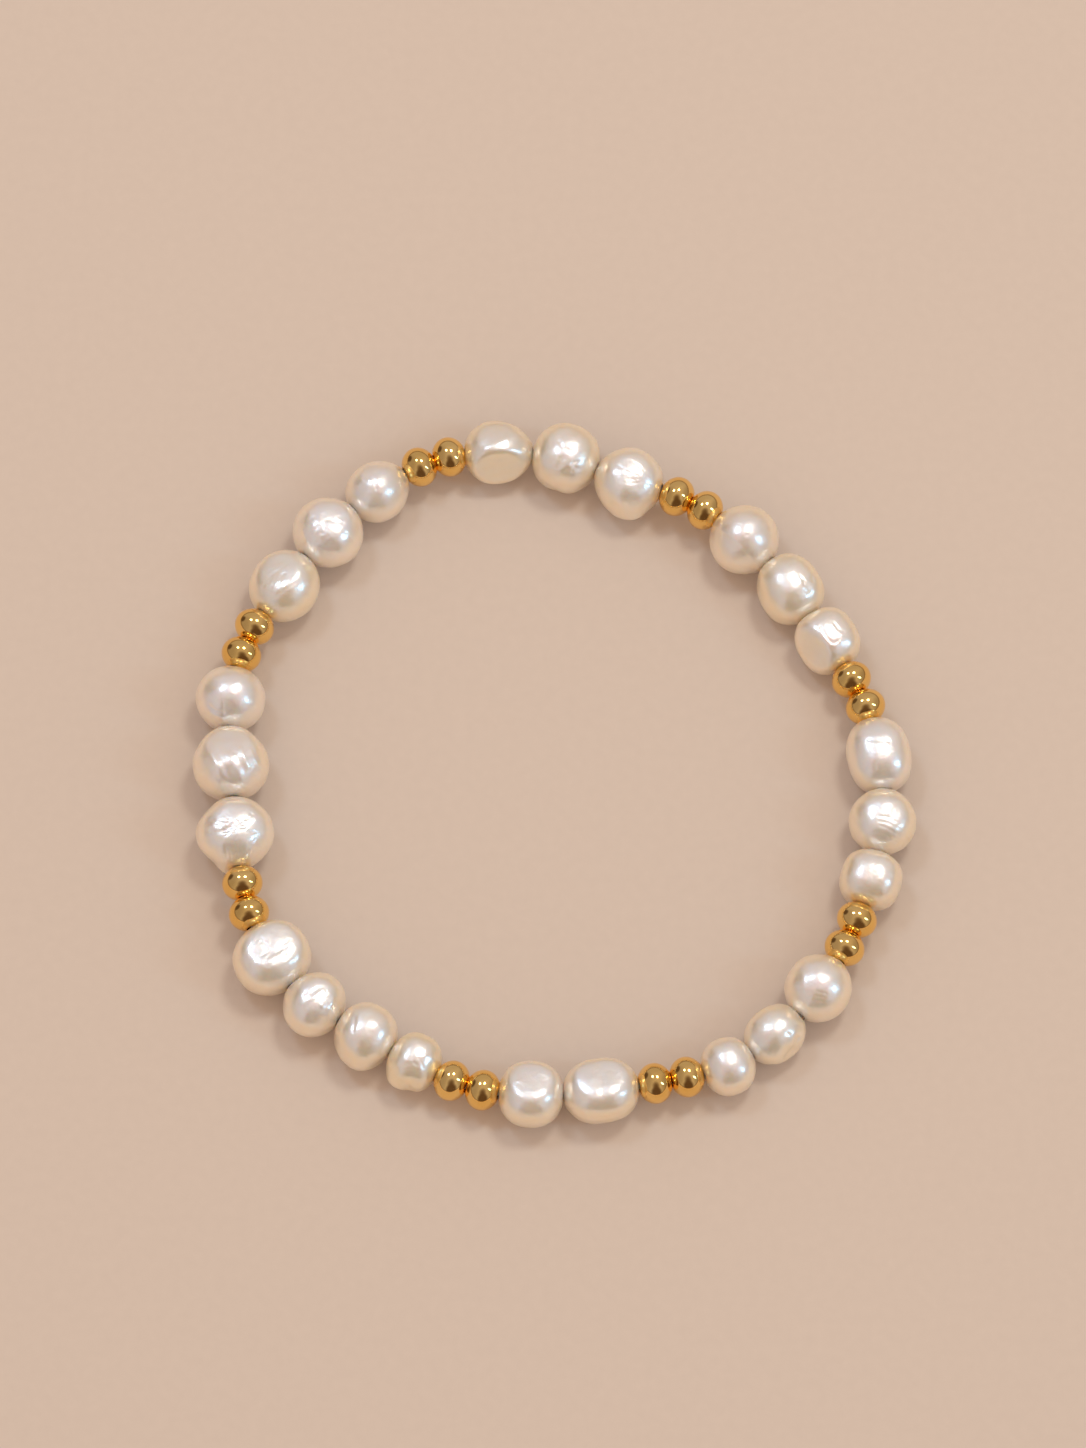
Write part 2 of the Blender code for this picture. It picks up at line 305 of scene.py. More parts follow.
THREAD_SIDES = 12
THREAD_STEPS = 6

elastic, shade = new_finish("elastic_cord")
stretch = shade.grain(3000.0)
output(shade, shade.node("ShaderNodeBsdfPrincipled", {}, {
    "Base Color": stretch.blend((0.80, 0.79, 0.77, 1.0), (0.90, 0.89, 0.87, 1.0)),
    "Roughness": 0.28 + stretch * 0.15,
    "IOR": 1.5,
    "Subsurface Weight": 0.3,
    "Subsurface Radius": (1.0, 0.9, 0.8),
    "Subsurface Scale": 0.0003,
    "Normal": shade.bump(stretch, 0.00001),
}))


def thread_line(corners):
    """A closed smooth line through the string's corners.

    Each stretch from one bead's middle to the next is a quadratic arc whose control point is
    the corner between them, so that the line is straight in the beads and bends in the gaps.
    """
    middles = 0.5 * (corners + np.roll(corners, -1, axis=0))
    before = np.roll(middles, 1, axis=0)
    part = (np.arange(THREAD_STEPS) / THREAD_STEPS)[:, None, None]
    arcs = (1 - part) ** 2 * before + 2 * part * (1 - part) * corners + part ** 2 * middles
    return arcs.transpose(1, 0, 2).reshape(-1, 3)


def tube_rings(line, radius, sides):
    """Rings of a tube round a closed level line: out is square to the line and level."""
    along = np.roll(line, -1, axis=0) - np.roll(line, 1, axis=0)
    along /= np.linalg.norm(along, axis=1)[:, None]
    out = np.stack([-along[:, 1], along[:, 0], np.zeros(len(line))], axis=1)
    out /= np.linalg.norm(out, axis=1)[:, None]
    up = np.cross(along, out)
    angle = np.arange(sides) * 2.0 * math.pi / sides
    spoke = np.cos(angle)[:, None] * out[:, None] + np.sin(angle)[:, None] * up[:, None]
    return line[:, None] + radius * spoke


thread_rings = tube_rings(thread_line(knots), 0.5 * THREAD_DIAMETER, THREAD_SIDES)
thread_mesh = closed_skin("elastic_string", thread_rings)
dress("elastic_string", thread_mesh, elastic, "elastic_thread")


# The gilt spacer beads
# Small rondelles spun from brass and plated with gold, polished to a mirror. They go in pairs
# between the runs of pearls, and their plate carries fine rubbing marks and a few soft dings.

SPACER_SIDES = 72
SPACER_RINGS = 48
SPACER_LIP = 0.00012
SPACER_END_GAP = 0.00002
SPACER_FULLNESS = 1.02
SPACER_OVERRUN = 1.10
RIM_STEPS = 6
GOLD = (1.00, 0.66, 0.22, 1.0)
WORN_GOLD = (0.96, 0.60, 0.17, 1.0)

gilt, shade = new_finish("polished_gilt")
clouds = shade.grain(220.0, 3.0)
rubbing = shade.grain(2600.0, 4.0, 1.5)
output(shade, shade.node("ShaderNodeBsdfPrincipled", {}, {
    "Base Color": clouds.between(0.35, 0.65).blend(GOLD, WORN_GOLD),
    "Metallic": 1.0,
    "Roughness": 0.05 + clouds * 0.05 + rubbing.between(0.5, 0.8) * 0.08,
    "Normal": shade.bump(rubbing, 0.0000012, shade.bump(clouds, 0.00004)),
}))


def spacer_rings():
    """A spacer's rings in its own frame: an ellipse turned round its bore, with flat ends.

    The ellipse is longer than the bead, and each flat end is cut where the bead stops. Its
    outer edge and the edge of its hole are rounded over.
    """
    half_length = 0.5 * (SPACER_LENGTH + BEAD_GAP - SPACER_END_GAP)
    radius = 0.5 * SPACER_DIAMETER * SPACER_FULLNESS
    bore = 0.5 * THREAD_DIAMETER + SPACER_HOLE_CLEARANCE
    middle_length = half_length * SPACER_OVERRUN
    cut = math.acos(half_length / middle_length)
    lean = np.linspace(cut, math.pi - cut, SPACER_RINGS)
    along = -np.cos(lean) * middle_length
    out = np.sin(lean) * radius
    near = (1.0 - (half_length - np.abs(along)) / SPACER_LIP).clip(0.0)
    out -= 0.5 * SPACER_LIP * near ** 3
    step = np.linspace(0.0, 0.5 * math.pi, RIM_STEPS)
    ease = 0.5 * SPACER_LIP
    rim_along = half_length - ease * (1.0 - np.cos(step))
    rim_out = bore + ease * (1.0 - np.sin(step))
    along = np.concatenate([-rim_along[::-1], along, rim_along])
    out = np.concatenate([rim_out[::-1], out, rim_out])
    side = np.arange(SPACER_SIDES) * 2.0 * math.pi / SPACER_SIDES
    return np.stack([
        along[:, None] * np.ones(SPACER_SIDES),
        out[:, None] * np.cos(side),
        out[:, None] * np.sin(side),
    ], axis=-1)


spacer_shape = spacer_rings()
for (kind, number), (centre, axes) in zip(order, frames):
    if kind == "spacer":
        name = f"gilt_spacer_{number + 1:02d}"
        mesh = closed_skin(name, spacer_shape @ axes + centre)
        dress(name, mesh, gilt, f"spacer_bead_{number + 1:02d}")


# The pearls
# Baroque freshwater pearls, each an uneven lump of nacre drilled through. The nacre is laid
# down in thin sheets, so that it is milky and cream in itself and mirrors with a soft,
# rosy or bluish sheen. Dents, ridges and growth lines break up the mirrored light.

PEARL_SIDES = 168
PEARL_RINGS = 96
DIMPLE = 0.00015
DIMPLE_DEPTH = 0.25
HOLE_DEPTH = 0.15
END_GAP = 0.000015
RIPPLE_HEIGHT = 0.00002
RIPPLE_WAVES = 14
RIPPLE_LENGTHS = (0.0010, 0.0032)
RIPPLE_USUAL_LENGTH = 0.002
RIPPLE_SEED = 700
VIEW_TILT = math.radians(20.0)
MILLIMETRE = 0.001
FAR_SIDE_SPREAD = 0.001
END_SHARPNESS = 5

# FRONT_FADE is in millimetres, PATCH_TURN_SPREAD in degrees and PATCH_LENGTHS in shares.
FRONT_FADE = 0.8
PATCH_TURN_SPREAD = 16.0
PATCH_LENGTHS = (0.6, 1.3)
PATCH_SEED = 900

# The main lumps and dents. swing turns from outwards towards the next bead and rise lifts
# towards the top, in degrees. turn sets the long way of the mark, in degrees from level.
# long and wide are its reach and lift its height, as shares of the pearl's radius.
Mark = namedtuple("Mark", "pearl swing rise turn long wide lift")
MARKS = (
    Mark(2, -163, 2, 0, 0.50, 0.50, -0.025),
    Mark(2, 122, -13, 0, 0.50, 0.50, -0.025),
    Mark(3, 141, -16, 0, 0.26, 0.36, 0.055),
    Mark(3, 161, -16, 0, 0.30, 0.36, 0.08),
    Mark(3, 181, -16, 0, 0.26, 0.36, 0.055),
    Mark(3, -165, 5, 0, 0.30, 0.30, -0.04),
    Mark(5, 164, -15, 0, 0.60, 0.60, 0.06),
    Mark(5, -149, 13, 0, 0.40, 0.40, -0.05),
    Mark(6, 20, 65, 0, 0.60, 0.60, -0.04),
    Mark(11, 0, 20, 60, 0.45, 0.28, -0.09),
    Mark(15, -18, 5, 90, 0.70, 0.24, -0.10),
    Mark(15, 20, -5, 0, 0.40, 0.35, 0.10),
    Mark(16, -12, -14, 0, 0.50, 0.50, 0.08),
    Mark(16, 41, 15, 0, 0.45, 0.45, -0.05),
    Mark(16, -60, 0, 0, 0.40, 0.40, -0.05),
    Mark(17, -110, 23, 0, 0.35, 0.35, -0.03),
    Mark(18, -80, 78, 0, 0.70, 0.70, -0.06),
    Mark(19, -70, -17, 0, 0.26, 0.26, 0.11),
    Mark(19, -36, -11, 0, 0.40, 0.40, -0.05),
    Mark(19, 45, 10, 0, 0.50, 0.50, -0.05),
    Mark(20, 145, 15, 0, 0.45, 0.45, -0.07),
    Mark(20, 35, 15, 0, 0.40, 0.40, -0.06),
    Mark(20, -47, 55, 60, 0.60, 0.28, 0.04),
    Mark(20, -109, 37, 0, 0.40, 0.30, 0.03),
    Mark(22, -31, 52, 0, 0.60, 0.60, -0.05),
    Mark(24, -15, 14, 0, 0.50, 0.50, -0.04),
)

# Some pearls have flat faces. A face looks this far east and north for each 1 up, and is sunk
# this many millimetres below the highest point on that side. Its edge is rounded over soft
# millimetres, and FACE_CROWN is the share of the pearl's own curve that it keeps.
FACE_CROWN = 0.06
Face = namedtuple("Face", "pearl east north sunk soft")
FACES = (
    Face(1, -0.10, 0.25, 0.20, 0.25),
    Face(1, 0.10, -1.88, 0.93, 0.14),
    Face(3, 0.05, -0.10, 0.30, 0.30),
    Face(6, -1.05, -1.00, 0.82, 0.14),
    Face(8, 0.05, -0.05, 0.25, 0.30),
    Face(13, 0.00, 0.24, 0.55, 0.18),
    Face(14, 0.00, 0.24, 0.50, 0.18),
    Face(17, 0.10, 0.00, 0.20, 0.25),
    Face(18, 0.05, 0.12, 0.60, 0.18),
    Face(19, 0.08, 0.03, 0.35, 0.30),
    Face(20, -0.04, 0.34, 0.45, 0.20),
    Face(22, -0.22, 0.20, 0.45, 0.18),
    Face(23, 0.10, 0.05, 0.25, 0.25),
)

# What follows is drawn on the pearls as they are seen from the front and 70 degrees up, in
# millimetres right and up from each pearl's middle.

# Fine ridges and grooves: wide and lift are millimetres, and path is the line that it follows.
Stroke = namedtuple("Stroke", "pearl wide lift path")
STROKES = (
    Stroke(1, 0.30, 0.04, ((-1.4, 0.2), (-0.4, 0.7), (0.8, 1.3))),
    Stroke(2, 0.20, -0.03, ((-0.7, 1.6), (-0.3, 0.9), (0.5, 0.6))),
    Stroke(2, 0.18, 0.03, ((-1.4, -1.1), (-0.8, -1.3), (-0.1, -1.1))),
    Stroke(2, 0.20, -0.04, ((0.9, -1.0), (1.3, -1.2))),
    Stroke(3, 0.25, -0.10, ((-1.9, -2.2), (-1.3, -2.5))),
    Stroke(4, 0.14, -0.03, ((0.1, 0.4), (0.3, 0.4))),
    Stroke(5, 0.15, -0.03, ((0.9, 1.3), (1.3, 0.6), (1.8, -0.3))),
    Stroke(5, 0.15, 0.03, ((1.5, -0.9), (0.9, -1.2))),
    Stroke(6, 0.13, 0.025, ((-1.1, 1.5), (-0.5, 0.4), (0.1, -0.4), (0.7, -0.6), (1.25, -0.1))),
    Stroke(6, 0.18, -0.03, ((-0.8, 1.4), (-0.2, 0.3), (0.4, -0.25), (0.9, -0.1))),
    Stroke(6, 0.15, 0.02, ((0.3, 1.6), (0.8, 0.9), (1.4, 0.5))),
    Stroke(6, 0.13, -0.02, ((0.6, 1.7), (1.0, 1.2), (1.6, 0.9))),
    Stroke(7, 0.20, -0.03, ((-0.5, -0.6), (-0.5, -1.2))),
    Stroke(7, 0.22, -0.03, ((-1.1, 1.6), (0.9, 1.5))),
    Stroke(8, 0.15, -0.025, ((-0.5, 0.6), (0.5, 0.5), (1.4, -0.1))),
    Stroke(8, 0.15, -0.025, ((-0.5, 0.1), (0.5, -0.1), (1.6, -0.7))),
    Stroke(8, 0.15, -0.025, ((-0.4, -0.3), (0.4, -0.6), (1.5, -1.3))),
    Stroke(8, 0.15, -0.025, ((-0.8, -0.9), (0.2, -1.2), (1.2, -2.0))),
    Stroke(8, 0.45, 0.05, ((-0.4, -2.0), (-0.1, -2.0))),
    Stroke(9, 0.22, -0.05, ((1.4, -2.5), (2.2, -1.7), (2.7, -0.7))),
    Stroke(10, 0.25, 0.04, ((-1.6, 1.4), (-1.5, 0.1))),
    Stroke(10, 0.15, -0.03, ((-0.2, -0.2), (0.6, -0.4))),
    Stroke(10, 0.15, -0.03, ((-0.4, -0.6), (0.5, -0.8))),
    Stroke(10, 0.15, -0.03, ((-0.5, -1.0), (0.3, -1.2))),
    Stroke(10, 0.22, 0.05, ((-1.55, -1.2), (-1.5, -1.25))),
    Stroke(10, 0.22, 0.05, ((-1.1, -1.6), (-1.05, -1.65))),
    Stroke(11, 0.30, -0.20, ((2.3, -0.3), (1.95, -1.3), (1.1, -2.3))),
    Stroke(11, 0.18, -0.04, ((1.2, 0.2), (1.35, 0.1))),
    Stroke(11, 0.15, 0.03, ((-1.7, -0.9), (-1.3, -1.4))),
    Stroke(12, 0.15, 0.02, ((1.6, 1.7), (2.0, 1.0))),
    Stroke(13, 0.45, -0.04, ((0.1, 1.4), (0.2, -0.4))),
    Stroke(13, 0.25, -0.015, ((-1.4, 0.3), (-0.6, -0.3), (0.1, -0.1))),
    Stroke(14, 0.15, 0.02, ((-1.3, 1.4), (-1.0, 1.5))),
    Stroke(15, 0.20, 0.03, ((-0.9, 0.3), (-0.3, 0.25))),
    Stroke(15, 0.18, -0.04, ((0.0, 0.1), (0.3, -0.1))),
    Stroke(15, 0.20, 0.04, ((0.2, 0.8), (1.1, 0.7))),
    Stroke(15, 0.20, 0.04, ((-1.6, -0.1), (-1.4, -0.4))),
    Stroke(15, 0.20, -0.04, ((0.7, 0.1), (0.9, -0.4))),
    Stroke(15, 0.25, -0.04, ((-1.4, -1.8), (-1.2, -2.0))),
    Stroke(16, 0.20, -0.05, ((-1.0, 1.8), (-1.15, 0.5))),
    Stroke(17, 0.20, 0.04, ((0.8, 0.0), (0.9, -0.1))),
    Stroke(17, 0.20, 0.04, ((1.4, -0.3), (1.5, -0.4))),
    Stroke(17, 0.22, 0.05, ((1.9, 0.6), (1.7, 0.1))),
    Stroke(17, 0.18, 0.04, ((1.9, -0.7), (1.95, -0.75))),
    Stroke(17, 0.18, 0.03, ((-2.1, 1.6), (-1.2, 2.3))),
    Stroke(17, 0.22, 0.035, ((-1.2, 0.1), (-0.2, 0.7), (0.9, 1.5))),
    Stroke(17, 0.20, -0.03, ((-0.9, 0.9), (0.3, 1.6))),
    Stroke(17, 0.40, -0.05, ((-0.2, -1.2), (0.9, -1.4))),
    Stroke(18, 0.18, 0.03, ((-1.9, -0.7), (-0.9, -0.5))),
    Stroke(18, 0.25, -0.03, ((-1.0, 1.9), (-0.1, 0.6), (0.9, 0.9))),
    Stroke(18, 0.15, 0.02, ((2.6, -0.7), (1.2, -1.8))),
    Stroke(19, 0.16, -0.04, ((-0.8, -1.2), (-0.7, -2.3))),
    Stroke(19, 0.14, -0.03, ((-0.45, -1.4), (-0.3, -2.5))),
    Stroke(19, 0.20, 0.03, ((2.0, -1.0), (2.6, -1.6))),
    Stroke(19, 0.16, -0.05, ((1.75, 1.95), (1.85, 1.9))),
    Stroke(19, 0.30, -0.05, ((-2.6, 0.3), (-1.2, 0.2), (-0.4, 0.5), (0.3, 0.9))),
    Stroke(20, 0.30, 0.06, ((-1.8, 0.9), (-0.7, -1.3), (0.2, -1.95))),
    Stroke(20, 0.30, 0.05, ((-0.1, 0.9), (0.9, -0.9), (1.2, -1.7))),
    Stroke(20, 0.18, 0.05, ((1.1, 1.5), (1.9, -0.4))),
    Stroke(20, 0.14, 0.03, ((2.1, 1.4), (2.9, -0.2))),
    Stroke(20, 0.14, 0.03, ((2.4, 1.6), (3.1, 0.2))),
    Stroke(20, 0.30, -0.04, ((-1.2, 1.0), (0.1, -1.3))),
    Stroke(20, 0.25, -0.035, ((0.6, 1.1), (1.5, -0.7))),
    Stroke(20, 0.12, -0.07, ((-3.15, 1.7), (-2.95, 2.1))),
    Stroke(21, 0.20, -0.06, ((-2.0, -0.7), (-1.4, -1.2), (-0.6, -1.4))),
    Stroke(21, 0.12, -0.02, ((-0.65, 0.0), (-0.6, -1.6))),
    Stroke(21, 0.25, 0.05, ((-1.9, -1.3), (-0.7, -1.9))),
    Stroke(22, 0.20, -0.03, ((-0.5, -0.9), (1.3, 0.3))),
    Stroke(23, 0.20, -0.03, ((0.0, 1.2), (1.6, 0.9))),
    Stroke(23, 0.20, -0.03, ((-0.9, 0.5), (-0.6, -0.1))),
    Stroke(23, 0.20, 0.04, ((-2.5, 0.2), (-2.0, -0.9))),
    Stroke(23, 0.25, -0.03, ((-0.4, 1.6), (-0.2, 0.3))),
    Stroke(24, 0.20, 0.03, ((-1.55, 1.0), (-1.5, 0.95))),
    Stroke(24, 0.20, 0.03, ((-0.9, 1.0), (-0.85, 0.95))),
    Stroke(24, 0.20, 0.03, ((-1.95, 0.4), (-1.9, 0.35))),
    Stroke(24, 0.22, 0.04, ((-1.3, -0.5), (-0.9, -0.4))),
    Stroke(24, 0.28, 0.05, ((-2.0, -0.95), (-2.0, -1.0))),
    Stroke(24, 0.20, -0.04, ((-0.3, 0.9), (-0.1, 0.1))),
)

# A crease, where the surface turns down on the right of the path: it is drop millimetres deep
# at wide millimetres from the path, and eases back beyond that.
Crease = namedtuple("Crease", "pearl wide drop path")
CREASES = (
    Crease(4, 1.1, 0.14, ((-2.4, 1.0), (-0.4, -0.6), (0.4, -1.6))),
)

# Patches of small dents: each has count short grooves of this length, wide and lift, turned
# this many degrees from level and strewn over reach.
Patch = namedtuple("Patch", "pearl middle reach count length turn wide lift")
PATCHES = (
    Patch(2, (0.2, -0.7), (1.1, 0.8), 11, 0.5, 25, 0.15, -0.035),
    Patch(3, (0.3, 0.7), (1.4, 1.4), 9, 1.5, -25, 0.12, -0.014),
    Patch(5, (1.7, 0.5), (0.5, 0.8), 8, 0.4, -60, 0.12, -0.03),
    Patch(18, (0.0, 1.0), (2.2, 1.6), 12, 0.9, 35, 0.14, -0.018),
    Patch(19, (-0.3, 0.7), (2.3, 0.9), 34, 0.35, 10, 0.14, -0.035),
    Patch(19, (0.3, -1.4), (1.8, 0.9), 8, 0.9, 80, 0.14, -0.02),
    Patch(22, (-1.0, 1.0), (1.1, 1.3), 12, 1.1, 50, 0.12, -0.012),
    Patch(23, (0.0, 0.2), (1.8, 1.5), 9, 0.4, 30, 0.20, -0.03),
)

CREAM = (1.00, 0.755, 0.54, 1.0)
MILK = (1.00, 0.85, 0.78, 1.0)
BLUSH = (0.95, 0.77, 0.74, 1.0)
ROSE_SHEEN = (1.00, 0.85, 0.89, 1.0)
BLUE_SHEEN = (0.89, 0.92, 0.98, 1.0)
RING_SHEEN = (0.87, 0.93, 1.00, 1.0)
RIM_SHEEN = (0.96, 0.85, 0.71, 1.0)

nacre, shade = new_finish("nacre")
warm = shade.node("ShaderNodeAttribute", {"attribute_name": "warm"}, {}, "Fac")
rose = shade.node("ShaderNodeAttribute", {"attribute_name": "rose"}, {}, "Fac")
patches = shade.grain(260.0, 2.0, 0.6)
flecks = shade.grain(900.0, 3.0, 0.8)
pits = shade.grain(2400.0, 3.0)
body = (warm * 0.8 + patches.between(0.35, 0.7) * 0.35).blend(MILK, CREAM)
body = (rose * 0.3).blend(body, BLUSH)
blushing = rose * 0.7 + flecks.between(0.35, 0.65) * 0.5 - 0.15
sheen = blushing.between(0.0, 1.0).blend(BLUE_SHEEN, ROSE_SHEEN)
turned = shade.node("ShaderNodeLayerWeight", {}, {"Blend": 0.5}, "Facing")
sheen = turned.between(0.01, 0.08).blend(sheen, RING_SHEEN)
sheen = turned.between(0.08, 0.42).blend(sheen, RIM_SHEEN)
layers = {
    "Normal": shade.bump(pits, 0.000012, shade.bump(flecks, 0.00003)),
    "Coat Roughness": 0.08,
    "Coat IOR": 1.5,
    "Coat Weight": 0.2,
}
milky = shade.node("ShaderNodeBsdfPrincipled", {}, {
    **layers,
    "Base Color": body,
    "Roughness": 0.22 + flecks * 0.06,
    "IOR": 1.6,
    "Subsurface Weight": 1.0,
    "Subsurface Radius": (1.0, 0.75, 0.50),
    "Subsurface Scale": 0.0050,
})
mirrored = shade.node("ShaderNodeBsdfPrincipled", {}, {
    **layers,
    "Base Color": sheen,
    "Metallic": 1.0,
    "Roughness": 0.28 + flecks * 0.03,
})
share = 0.50 + flecks * 0.16
output(shade, shade.node("ShaderNodeMixShader", {}, {0: share, 1: milky, 2: mirrored}))


def mark_lift(number, directions):
    """What the pearl's marks add to its radius, as a share, in each unit direction.

    A mark is a bell shape with a long and a wide reach. Its two distances are taken on a
    flat map of the pearl round the mark's middle, which fades it out towards the far side.
    """
    total = np.zeros(directions.shape[:-1])
    for mark in MARKS:
        if mark.pearl != number + 1:
            continue
        swing, rise, turn = (math.radians(angle) for angle in (mark.swing, mark.rise, mark.turn))
        level = np.array([math.cos(swing), -math.sin(swing), 0.0])
        ahead = np.array([math.sin(swing), math.cos(swing), 0.0])
        middle = math.cos(rise) * ahead + math.sin(rise) * np.array([0.0, 0.0, 1.0])
        long_way = math.cos(turn) * level + math.sin(turn) * np.cross(level, middle)
        wide_way = np.cross(middle, long_way)
        spread = 0.5 * np.maximum(1.0 + directions @ middle, FAR_SIDE_SPREAD)
        along = directions @ long_way / spread / mark.long
        across = directions @ wide_way / spread / mark.wide
        total += mark.lift * np.exp(-along ** 2 - across ** 2)
    return total


def path_distance(places, path):
    """How far each place is from a line through the path's points, and on which side.

    The side is a share from -1, left of the path, to 1, right of it, and 0 is beyond an end.
    """
    nearest = np.full(places.shape[:-1], np.inf)
    side = np.zeros(places.shape[:-1])
    for start, end in zip(np.array(path[:-1]), np.array(path[1:])):
        run = end - start
        share = ((places - start) @ run / (run @ run)).clip(0.0, 1.0)
        gap = places - start - share[..., None] * run
        distance = np.hypot(gap[..., 0], gap[..., 1])
        right = gap @ np.array([run[1], -run[0]]) / np.linalg.norm(run)
        closer = distance < nearest
        side = np.where(closer, right / np.maximum(distance, 1e-9), side)
        nearest = np.where(closer, distance, nearest)
    return nearest, side


def patch_paths(patch):
    """The short grooves of a patch of dents: a seeded random start and turn for each."""
    random = np.random.default_rng(PATCH_SEED + patch.pearl)
    place = random.uniform(-1.0, 1.0, (patch.count, 2)) * patch.reach + patch.middle
    turn = np.radians(patch.turn + random.normal(0.0, PATCH_TURN_SPREAD, patch.count))
    half = 0.5 * patch.length * random.uniform(*PATCH_LENGTHS, patch.count)
    reach = half[:, None] * np.stack([np.cos(turn), np.sin(turn)], axis=1)
    return np.stack([place - reach, place + reach], axis=1)


def carved_lift(number, points, axes):
    """What the pearl's fine ridges, grooves, creases and dents add to its radius, in metres.

    A ridge is a bell shape across its path. A crease falls with its distance from the path
    times an exponential decay, on the right of the path. All fade out over the last
    FRONT_FADE millimetres before the side that faces away from the front.
    """
    world = points @ axes / MILLIMETRE
    right = world[..., 0]
    up = world[..., 1] * math.cos(VIEW_TILT) + world[..., 2] * math.sin(VIEW_TILT)
    front = world[..., 2] * math.cos(VIEW_TILT) - world[..., 1] * math.sin(VIEW_TILT)
    places = np.stack([right, up], axis=-1)
    shown = (front / FRONT_FADE).clip(0.0, 1.0)
    strokes = [stroke for stroke in STROKES if stroke.pearl == number + 1]
    grooves = [(stroke.wide, stroke.lift, stroke.path) for stroke in strokes]
    for patch in PATCHES:
        if patch.pearl == number + 1:
            grooves += [(patch.wide, patch.lift, path) for path in patch_paths(patch)]
    total = np.zeros(points.shape[:-1])
    for wide, lift, path in grooves:
        distance, _ = path_distance(places, path)
        total += lift * np.exp(-(distance / wide) ** 2)
    for crease in CREASES:
        if crease.pearl == number + 1:
            distance, side = path_distance(places, crease.path)
            share = distance / crease.wide
            total -= crease.drop * share * np.exp(1.0 - share) * side.clip(0.0, 1.0)
    return MILLIMETRE * total * shown


def flat_faces(number, points, axes):
    """Presses a pearl's flat faces in.

    Each point moves back along the face's direction by a soft ramp of its height above the
    face: the logarithm of 1 plus the exponential of height over soft, less the crown.
    """
    for face in FACES:
        if face.pearl == number + 1:
            way = np.array([face.east, face.north, 1.0])
            way = axes @ (way / np.linalg.norm(way))
            height = points @ way
            soft = MILLIMETRE * face.soft
            above = (height - height.max() + MILLIMETRE * face.sunk) / soft
            pressed = np.log1p(np.exp(above)) - above.clip(0.0) * FACE_CROWN
            points = points - (soft * pressed)[..., None] * way
    return points


def ripple_lift(number, points):
    """Low waves all over a pearl, in metres: the sum of plane waves in seeded random ways.

    Each wave is a sine of the distance along its way, and the longer it is the higher.
    """
    random = np.random.default_rng(RIPPLE_SEED + number)
    ways = random.normal(size=(RIPPLE_WAVES, 3))
    ways /= np.linalg.norm(ways, axis=1)[:, None]
    lengths = random.uniform(*RIPPLE_LENGTHS, RIPPLE_WAVES)
    phases = random.uniform(0.0, 2.0 * math.pi, RIPPLE_WAVES)
    waves = np.sin(2.0 * math.pi * (points @ ways.T) / lengths + phases)
    waves *= lengths / RIPPLE_USUAL_LENGTH
    height = RIPPLE_HEIGHT * PEARLS[number].ripple
    return height * waves.sum(axis=-1) / math.sqrt(RIPPLE_WAVES)


def pearl_rings(number, axes, bore_height):
    """A pearl's rings, in its own frame, with its body resting on the table.

    The radius is that of a rounded box of the pearl's three sizes, raised or sunk by its
    marks, flat faces, waves and strokes, and the cross-section shrinks along the hole by the
    taper. A small dimple is sunk round each end of the hole, and each end has a short inner
    wall. What lies below its flat seat is lifted to the seat, and the body is set on the
    table. The ends are then drawn out or in to meet their neighbours, most near the tips.
    """
    pearl = PEARLS[number]
    half = 0.5 * PEARL_SIZE * np.array([pearl.length, pearl.width, pearl.height])
    bore = 0.5 * THREAD_DIAMETER + PEARL_HOLE_CLEARANCE
    side = (np.arange(PEARL_SIDES) + 0.5) * 2.0 * math.pi / PEARL_SIDES
    round_way = np.stack([np.cos(side), np.sin(side)], axis=1)
    first = math.asin(bore / half[0])
    lean = np.linspace(first, math.pi - first, PEARL_RINGS)[:, None]
    directions = np.stack([
        -np.cos(lean) * np.ones(PEARL_SIDES),
        np.sin(lean) * round_way[:, 0],
        np.sin(lean) * round_way[:, 1],
    ], axis=-1)
    power = 2.0 + pearl.box
    radius = (np.abs(directions / half) ** power).sum(axis=-1) ** (-1.0 / power)
    radius *= 1.0 + mark_lift(number, directions)
    points = directions * radius[..., None]
    points = flat_faces(number, points, axes)
    fine = ripple_lift(number, points) + carved_lift(number, points, axes)
    points += directions * fine[..., None]
    points[..., 1:] *= (1.0 - pearl.taper * points[..., 0] / half[0])[..., None]

    from_hole = np.hypot(points[..., 1], points[..., 2]) - bore
    sunk = np.exp(-(from_hole / DIMPLE).clip(0.0) ** 2) * DIMPLE * DIMPLE_DEPTH
    points[..., 0] -= np.sign(points[..., 0]) * sunk
    points[..., 1] += PEARL_SIZE * pearl.out
    level = (points @ axes)[..., 2]
    floor = level.min() + PEARL_SIZE * pearl.seat
    points[..., 2] += (np.maximum(level, floor) - level - floor - bore_height) / axes[2][2]
    for end in (0, -1):
        points[end, :, 1:] = bore * round_way
    reach = np.abs(points[[0, -1], :, 0]).mean()
    wanted = half[0] + 0.5 * BEAD_GAP - END_GAP
    near_end = np.abs(points[..., 0] / reach) ** END_SHARPNESS
    points[..., 0] *= 1.0 + (wanted / reach - 1.0) * near_end
    inner = points[[0, -1]] * [1.0 - HOLE_DEPTH, 1.0, 1.0]
    return np.concatenate([inner[:1], points, inner[1:]])


for (kind, number), (centre, axes) in zip(order, frames):
    if kind == "pearl":
        name = f"baroque_pearl_{number + 1:02d}"
        skin = pearl_rings(number, axes, centre[2]) @ axes + centre
        mesh = closed_skin(name, skin)
        for column in ("warm", "rose"):
            tint = mesh.attributes.new(column, "FLOAT", "POINT")
            amount = getattr(PEARLS[number], column)
            tint.data.foreach_set("value", np.full(len(mesh.vertices), amount, np.float32))
        dress(name, mesh, nacre, f"pearl_{number + 1:02d}")


